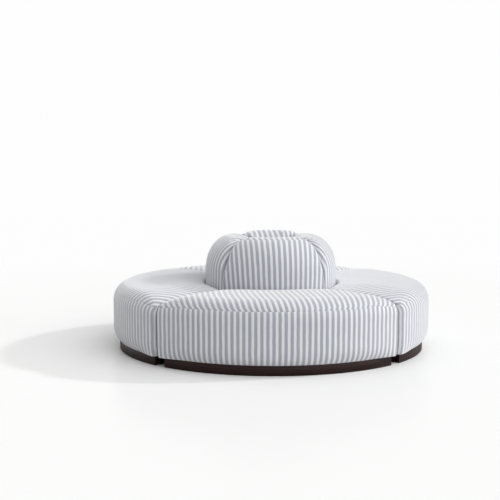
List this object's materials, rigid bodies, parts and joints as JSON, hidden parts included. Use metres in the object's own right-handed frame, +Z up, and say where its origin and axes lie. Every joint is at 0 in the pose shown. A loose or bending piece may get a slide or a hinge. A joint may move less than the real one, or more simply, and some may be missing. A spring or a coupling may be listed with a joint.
{
  "type": "round sofa",
  "caption": "Round island sofa of quarter modules with a central domed backrest, striped covers and a dark recessed plinth.",
  "frame": {"origin": "on the floor under the centre of the round", "axes": "+Z up; the front module faces -Y, the right module +X"},
  "size_m": [2.0552, 2.0552, 0.733],
  "materials": {
    "stripe_fabric": "flat woven cloth with equal pale blue-grey and off-white stripes",
    "foam": "open cell upholstery foam",
    "webbing": "woven elastic belts",
    "plywood": "raw plywood",
    "plinth_wood": "satin dark brown stain"
  },
  "bodies": {
    "front_module": {"front_seat_cover": "stripe_fabric", "front_back_cover": "stripe_fabric", "front_seat_foam": "foam", "front_back_foam": "foam", "front_seat_webbing": "webbing", "front_plinth_front_board": "plinth_wood", "front_plinth_right_board": "plinth_wood", "front_plinth_left_board": "plinth_wood", "front_seat_base_panel": "plywood", "front_back_base_panel": "plywood", "front_outer_rail": "plywood", "front_inner_rail": "plywood", "front_right_rail": "plywood", "front_left_rail": "plywood", "front_back_frame": "plywood"},
    "right_module": {"right_seat_cover": "stripe_fabric", "right_back_cover": "stripe_fabric", "right_seat_foam": "foam", "right_back_foam": "foam", "right_seat_webbing": "webbing", "right_plinth_front_board": "plinth_wood", "right_plinth_right_board": "plinth_wood", "right_plinth_left_board": "plinth_wood", "right_seat_base_panel": "plywood", "right_back_base_panel": "plywood", "right_outer_rail": "plywood", "right_inner_rail": "plywood", "right_right_rail": "plywood", "right_left_rail": "plywood", "right_back_frame": "plywood"},
    "rear_module": {"rear_seat_cover": "stripe_fabric", "rear_back_cover": "stripe_fabric", "rear_seat_foam": "foam", "rear_back_foam": "foam", "rear_seat_webbing": "webbing", "rear_plinth_front_board": "plinth_wood", "rear_plinth_right_board": "plinth_wood", "rear_plinth_left_board": "plinth_wood", "rear_seat_base_panel": "plywood", "rear_back_base_panel": "plywood", "rear_outer_rail": "plywood", "rear_inner_rail": "plywood", "rear_right_rail": "plywood", "rear_left_rail": "plywood", "rear_back_frame": "plywood"},
    "left_module": {"left_seat_cover": "stripe_fabric", "left_back_cover": "stripe_fabric", "left_seat_foam": "foam", "left_back_foam": "foam", "left_seat_webbing": "webbing", "left_plinth_front_board": "plinth_wood", "left_plinth_right_board": "plinth_wood", "left_plinth_left_board": "plinth_wood", "left_seat_base_panel": "plywood", "left_back_base_panel": "plywood", "left_outer_rail": "plywood", "left_inner_rail": "plywood", "left_right_rail": "plywood", "left_left_rail": "plywood", "left_back_frame": "plywood"}
  },
  "joints": [
    {"name": "right_module_slide", "type": "slide", "parent": "front_module", "child": "right_module", "axis": [1, 0, 0], "range_m": [0, 0.3]},
    {"name": "rear_module_slide", "type": "slide", "parent": "front_module", "child": "rear_module", "axis": [0, 1, 0], "range_m": [0, 0.3]},
    {"name": "left_module_slide", "type": "slide", "parent": "front_module", "child": "left_module", "axis": [-1, 0, 0], "range_m": [0, 0.3]}
  ]
}
